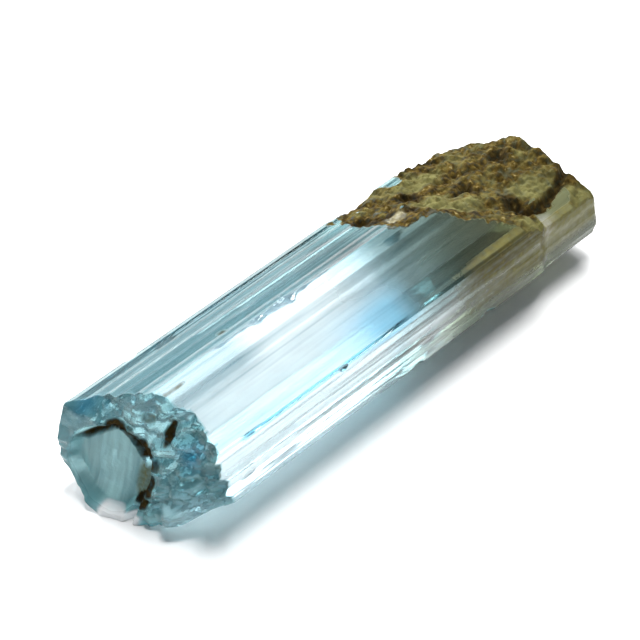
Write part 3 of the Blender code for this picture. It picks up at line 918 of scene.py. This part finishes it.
def near_marks(y, z):
    """Marks on the near break."""
    crease = min(lumps(GRAIN_SIZE, y, z, 0.0), 0.5 + lumps(FINE_GRAIN[1], y, z, 3.0))
    in_dish = dish_share(y, z)
    width, length = DISH_LINES_SIZE
    lines = noise.fractal(Vector((y / width, z / length, 8.0)), *OCTAVES, 3)
    shade = (1 - in_dish) * (NEAR_SHADE[0] + NEAR_SHADE[1] * clamp(crease))
    shade += in_dish * (DISH_SHADE[0] + DISH_SHADE[1] * lines)

    rim = falls(from_edge(y, z), *RIM_INWARD) * rises(y, *RIM_BEHIND)
    strength, behind, below = RIM_CORNER
    rim = max(rim, strength * rises(y, *behind) * falls(z, *below))
    mottled = rises(y, *MOTTLE_FROM[0]) * rises(z, *MOTTLE_FROM[1])
    shade += mottled * (MOTTLE_SHADE[0] * lumps(MOTTLE_SIZE, y, z, 6.0) - MOTTLE_SHADE[1])
    shade += (RIM_SHADE - shade) * rim
    strength, before, above, below = FRONT_SHADOW
    shade -= strength * falls(y, *before) * rises(z, *above) * falls(z, *below)

    # Painted highlight on the shelf at the foot.
    below, before, behind = SHELF_HIGHLIGHT
    shelf_highlight = falls(z, *below) * falls(y, *before) * rises(y, *behind)
    above, radius, strength = LUMP_PALE
    lump = bump(math.hypot(y - FOOT_LUMP[0], z - FOOT_LUMP[1] - above), radius)
    stain, olive = near_stain(y, z)
    shade -= NEAR_STAIN_SHADE * clamp(stain) * (1 - olive)
    cloud = NEAR_CLOUD[0] + NEAR_CLOUD[1] * in_dish + NEAR_CLOUD[2] * rim
    cloud += NEAR_CLOUD[3] * falls(z, *NEAR_CLOUD_LOW)

    blue = waves(NEAR_BLUE_WAVES, y, z, 3.0)
    for spot_y, spot_z, spot_radius, depth in NEAR_BLUE:
        blue += depth * bump(math.hypot(y - spot_y, z - spot_z), spot_radius)
    return {
        "stain": stain * (1 - shelf_highlight),
        "olive": olive,
        "frost": NEAR_FROST[0] + NEAR_FROST[1] * in_dish,
        "cloud": max(cloud, shelf_highlight),
        "shade": max(shade, shelf_highlight),
        "broken_and_shade": 1 - shelf_highlight,
        "blue": blue * ((1 - in_dish) * (1 - rim)),
        "pale_and_highlight": max(shelf_highlight, strength * lump),
    }


def top_marks(x, y):
    """Marks on the stained top."""
    crease = min(lumps(TOP_LUMP_SIZE, x, y, 9.0), 0.5 + lumps(TOP_FINE_LUMPS[1], x, y, 1.0))
    stain, olive = top_stain(x, y)
    shade = TOP_SHADE[0] + TOP_SHADE[1] * clamp(crease)
    for pit_x, pit_y, radius, *_ in TOP_PITS + TOP_PIT_SHADE:
        shade -= bump(math.hypot(x - pit_x, y - pit_y), radius * PIT_SHADOW)
    strength, width = GROOVE_SHADOW
    shade -= strength * bump(distance_to_path(TOP_GROOVE, x, y), width)
    patch_x, patch_y, longer, radius = SAND_PATCH
    steepness, level, streaked = SAND_STRENGTH
    pale_and_highlight = smooth(steepness * bump(ellipse(x, y, patch_x, patch_y, longer, 1.0), radius))
    pale_and_highlight *= level + streaked * streaks(x * SAND_STREAK, y, 4.0)
    return {
        "stain": max(stain, pale_and_highlight),
        "olive": olive,
        "frost": TOP_FROST,
        "cloud": TOP_CLOUD,
        "shade": max(shade, pale_and_highlight),
        "pale_and_highlight": pale_and_highlight,
    }


def streak_line(x, away, width, start, end):
    """A mark of this width along the crystal from start to end, with soft ends."""
    return bump(away, width) * rises(x, start, LINE_FADE) * falls(x, end, LINE_FADE)


def zone(x, z, strength, x_in=None, x_out=None, z_in=None, z_out=None):
    """This strength over a stretch of a face, faded in and out by the pairs that are given."""
    if x_in:
        strength *= rises(x, *x_in)
    if x_out:
        strength *= falls(x, *x_out)
    if z_in:
        strength *= rises(z, *z_in)
    if z_out:
        strength *= falls(z, *z_out)
    return strength


def back_top_marks(x, y, stain, murk, lines):
    """Marks on the striped face behind the ridge, from what all the sides share."""
    spot_x, spot_y, longer, radius, depth = BACK_TOP_SPOT
    spot = bump(ellipse(x, y, spot_x, spot_y, longer, 1.0), radius)
    level, striped, loss = BACK_TOP_SHADE
    return {
        "stain": max(stain, depth * spot),
        "olive": BACK_TOP_OLIVE,
        "cloud": max(0.0, murk - BACK_TOP_MURK),
        "shade": level + striped * lines - loss * rises(x, *BACK_TOP_DARKER),
        "broken_and_shade": BACK_TOP_SHADE_TINT,
    }


def sides_stain(x, y, z, across):
    """The brown wash and the olive part, which are on the front only."""
    brown = rises(x, *BROWN_X[0]) * falls(x, *BROWN_X[1])
    brown *= rises(z, *BROWN_Z[0]) * falls(z, *BROWN_Z[1]) * (y < 0)
    depth, level = BROWN_STRENGTH
    stain = max(0.0, depth * brown * (level + streaks(x, across * 1.2, 2.0)))
    if y < EDGE_Y:
        along, up, stronger = OLIVE_FROM
        level, added, streaked = OLIVE_STRENGTH
        depth = level + added * rises(z, *stronger) + streaked * streaks(x, across, 31.0)
        stain = max(stain, rises(x, *along) * rises(z, *up) * depth)
    return stain


def skin_marks(x, y, z):
    """Marks on the striated sides."""
    if z < FOOT_Z:
        return FOOT_LOOK
    if z < LOW_Z:
        return LOW_LOOK
    across = y if abs(y) < UPRIGHT_Y else z + UPRIGHT_SHIFT
    far_half = rises(x, *FAR_HALF)
    along, round_it = MURK_WAVES_SIZE
    spot = Vector((x / along, y / round_it, z / round_it))
    murk = MURK[0] + MURK[1] * far_half
    murk += (MURK_WAVES[0] + MURK_WAVES[1] * far_half) * noise.fractal(spot, *OCTAVES, 3)
    frost = SKIN_FROST[0] + SKIN_FROST[1] * abs(streaks(x, across, 7.0))
    stain = sides_stain(x, y, z, across)
    lines = streaks(x / 3, across, 12.0)
    if y > BACK_TOP_Y and z > HIGH_Z:
        return {"frost": frost, **back_top_marks(x, y, stain, murk, lines)}

    level, lined, thinned, least = SKIN_SHADE
    thin = streaks(x / 2, across * 2.2, 30.0)
    shade = level + lined * min(0.0, lines) - thinned * max(0.0, thin - least)
    blue, pale_and_highlight = 0.0, 0.0
    if y < FRONT_Y:
        murk += zone(x, z, **FRONT_VEIL)
        murk += FRONT_STREAKS * far_half * max(0.0, streaks(x, across * 1.7, 21.0))
        murk += zone(x, z, **FRONT_FAR_VEIL)
        shade -= zone(x, z, **FRONT_LOW_SHADE)
        if y < FRONT_FACE_Y:
            high = rises(z, *FRONT_HIGH)
            # Painted highlight on the lower front face.
            depth, start, end = FRONT_LOW_HIGHLIGHT
            pale_and_highlight = depth * (1 - high) * rises(x, *start) * falls(x, *end)
            shade -= FRONT_HIGH_SHADE[0] * high * rises(x, *FRONT_HIGH_SHADE[1])
        # Painted highlight at the step to the lobe.
        spot_x, spot_z, longer, depth = STEP_HIGHLIGHT
        pale_and_highlight = max(pale_and_highlight, depth * bump(ellipse(x, z, spot_x, spot_z, longer, 1.0), 1.0))
    if y < FRONT_Y and z > HIGH_Z:
        line_z, width, start, end, depth = RIDGE_LINE
        stain = max(stain, depth * streak_line(x, abs(z - line_z), width, start, end))
        # Painted glow: the blue patch.
        patch = zone(x, z, **BLUE_GLOW_PATCH)
        blue = BLUE_GLOW_TINT * patch
        murk += BLUE_GLOW_MURK * patch + zone(x, z, **RIDGE_VEIL)
        shade -= RIDGE_STREAKS * far_half * max(0.0, streaks(x, across * 1.3, 51.0))
        shade -= sum(zone(x, z, **band) for band in RIDGE_SHADES)

    groove = falls(distance_to_path(EDGE_GROOVE, y, z), *EDGE_GROOVE_WIDTH)
    groove *= rises(x, *EDGE_GROOVE_X[0]) * falls(x, *EDGE_GROOVE_X[1])
    line_y, line_z, width, start, end, twin_blue = TWIN_LINE
    twin = streak_line(x, math.hypot(y - line_y, z - line_z), width, start, end)
    return {
        "stain": stain,
        "olive": SKIN_OLIVE,
        "frost": frost,
        "cloud": murk * (1 - groove),
        "shade": shade - EDGE_GROOVE_BLUE[1] * groove,
        "blue": max(blue, EDGE_GROOVE_BLUE[0] * groove, twin_blue * twin),
        "pale_and_highlight": pale_and_highlight,
    }


def marks_at(where, x, y, z):
    """Marks of a point on this kind of surface. A mark that is missing is 0."""
    if where == "near":
        return near_marks(y, z)
    if where == "top":
        return top_marks(x, y)
    if where == "far":
        return {"stain": FAR_STAIN[0] + waves(FAR_STAIN[1], x, y, z), **FAR_LOOK}
    if where == "skin":
        return skin_marks(x, y, z)
    return CHIP_LOOK


def paint(crystal):
    """Writes the marks as point attributes, which the material reads."""
    mesh = crystal.data
    region = [0] * len(mesh.vertices)
    for face in mesh.polygons:
        if mesh.materials[face.material_index].name != "skin":
            for index in face.vertices:
                region[index] = face.material_index
    names = [material.name for material in mesh.materials]
    rows = []
    for vert, kind in zip(mesh.vertices, region):
        marks = marks_at(names[kind], *(vert.co / MM))
        rows.append([clamp(marks.get(name, 0.0)) for name in MARKS])
    for name, values in zip(MARKS, zip(*rows)):
        mesh.attributes.new(name, "FLOAT", "POINT").data.foreach_set("value", values)


def aquamarine():
    """The one material: clear beryl, and the stain where it is marked."""
    material = bpy.data.materials.new("aquamarine")
    material.use_nodes = True
    tree = material.node_tree
    nodes, link = tree.nodes, tree.links.new
    shader = nodes["Principled BSDF"]
    shader.inputs["IOR"].default_value = BERYL_IOR

    def node(kind, **settings):
        made = nodes.new(kind)
        for name, setting in settings.items():
            setattr(made, name, setting)
        return made

    def attribute(name):
        return node("ShaderNodeAttribute", attribute_name=name).outputs["Fac"]

    def sums(operation, *values):
        made = node("ShaderNodeMath", operation=operation)
        for socket, given in zip(made.inputs, values):
            if isinstance(given, (int, float)):
                socket.default_value = given
            else:
                link(given, socket)
        return made.outputs[0]

    def blend(share, low, high):
        made = node("ShaderNodeMix", data_type="RGBA")
        for socket, given in zip((made.inputs[0], made.inputs[6], made.inputs[7]), (share, low, high)):
            if isinstance(given, tuple):
                socket.default_value = (*given, 1)
            else:
                link(given, socket)
        return made.outputs[2]

    def tinted(colour, tint):
        made = node("ShaderNodeMix", data_type="RGBA", blend_type="MULTIPLY")
        made.inputs[0].default_value = 1.0
        link(colour, made.inputs[6])
        made.inputs[7].default_value = (*tint, 1)
        return made.outputs[2]

    def grain(scale, detail=4.0):
        made = node("ShaderNodeTexNoise")
        made.inputs["Scale"].default_value = scale
        made.inputs["Detail"].default_value = detail
        link(place, made.inputs["Vector"])
        return made.outputs["Fac"]

    def ramp(share, *stops):
        made = node("ShaderNodeValToRGB")
        stops = sorted(stops)
        for element, (at, colour) in zip(made.color_ramp.elements, (stops[0], stops[-1])):
            element.position, element.color = at, (*colour, 1)
        for at, colour in stops[1:-1]:
            made.color_ramp.elements.new(at).color = (*colour, 1)
        link(share, made.inputs[0])
        return made.outputs["Color"]

    place = node("ShaderNodeTexCoord").outputs["Object"]
    apart = node("ShaderNodeSeparateXYZ")
    link(place, apart.inputs[0])
    low, high = BODY_TINTS[0][0], BODY_TINTS[-1][0]
    wander_scale, wander_length = BODY_WANDER
    wander = sums("SUBTRACT", grain(wander_scale), 0.5)
    wander = sums("MULTIPLY", wander, wander_length / (high - low))
    along = sums("MULTIPLY_ADD", apart.outputs["X"], MM_PER_M / (high - low), -low / (high - low))
    body = ramp(
        sums("ADD", along, wander),
        *(((x - low) / (high - low), colour) for x, colour in BODY_TINTS),
    )
    stain, frost, cloud = attribute("stain"), attribute("frost"), attribute("cloud")
    # The fracture tint; on the back top face it is laid on as painted shade.
    body = blend(attribute("broken_and_shade"), body, FRACTURE_TINT)
    body = blend(attribute("blue"), body, BLUE_TINT)
    # Pale marks whiten the body: untinted low faces, and painted highlights on the shelf and the front
    # face.
    body = blend(attribute("pale_and_highlight"), body, WHITE)
    body = blend(attribute("shade"), tinted(body, SHADE_TINT), body)
    brown = ramp(grain(STAIN_NOISE, 5.0), *STAIN_TINTS)
    ragged = sums("SUBTRACT", grain(OLIVE_NOISE), 0.5)
    green = sums("MULTIPLY_ADD", ragged, OLIVE_RAGGED, attribute("olive"))
    green_shown = node("ShaderNodeClamp")
    link(green, green_shown.inputs[0])
    brown = blend(green_shown.outputs[0], brown, STAIN_OLIVE)
    brown = blend(attribute("pale_and_highlight"), brown, STAIN_SAND)
    brown = blend(attribute("shade"), tinted(brown, STAIN_SHADE), brown)
    shown = sums("MULTIPLY_ADD", sums("SUBTRACT", grain(STAIN_NOISE), 0.5), STAIN_RAGGED, stain)
    fade = sums("MULTIPLY", stain, STAIN_FADE)
    fade.node.use_clamp = True
    shown = sums("MULTIPLY", shown, fade)
    hidden = node("ShaderNodeClamp")
    link(shown, hidden.inputs[0])
    hidden = hidden.outputs[0]
    link(blend(hidden, body, brown), shader.inputs["Base Color"])
    gloss = blend(attribute("shade"), SHADE_GLOSS, WHITE)
    link(blend(hidden, gloss, STAIN_GLOSS), shader.inputs["Specular Tint"])
    clear = sums("SUBTRACT", CLEAR[0], sums("MULTIPLY", cloud, CLEAR[1]))
    dull = sums("MULTIPLY_ADD", attribute("olive"), STAIN_DULL[1], STAIN_DULL[0])
    dull = sums("MULTIPLY", hidden, dull)
    clear = sums("MULTIPLY", clear, sums("SUBTRACT", 1.0, dull))
    link(clear, shader.inputs["Transmission Weight"])
    smoothest, frosted, stained = ROUGHNESS
    rough = sums("MULTIPLY_ADD", frost, frosted, smoothest)
    rough = sums("MULTIPLY_ADD", hidden, stained, rough)
    link(rough, shader.inputs["Roughness"])
    relief = node("ShaderNodeBump")
    relief.inputs["Strength"].default_value = BUMP_STRENGTH
    relief.inputs["Distance"].default_value = BUMP_DEPTH
    link(sums("MULTIPLY", grain(BUMP_NOISE, 3.0), frost), relief.inputs["Height"])
    link(relief.outputs[0], shader.inputs["Normal"])
    depth = nodes.new("ShaderNodeVolumeAbsorption")
    depth.inputs["Color"].default_value = (*ABSORPTION, 1)
    depth.inputs["Density"].default_value = ABSORPTION_DENSITY
    link(depth.outputs[0], nodes["Material Output"].inputs["Volume"])
    return material


add_camera()
add_floor()
add_world()
for lamp in LAMPS:
    add_light(*lamp)
crystal = make_crystal()
paint(crystal)
crystal.data.materials.clear()
crystal.data.materials.append(aquamarine())
crystal.data.shade_smooth()
crystal.data.set_sharp_from_angle(angle=SHARP_ANGLE)
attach(crystal, "root")
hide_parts(NODE)
bpy.context.scene.view_settings.view_transform = "Standard"
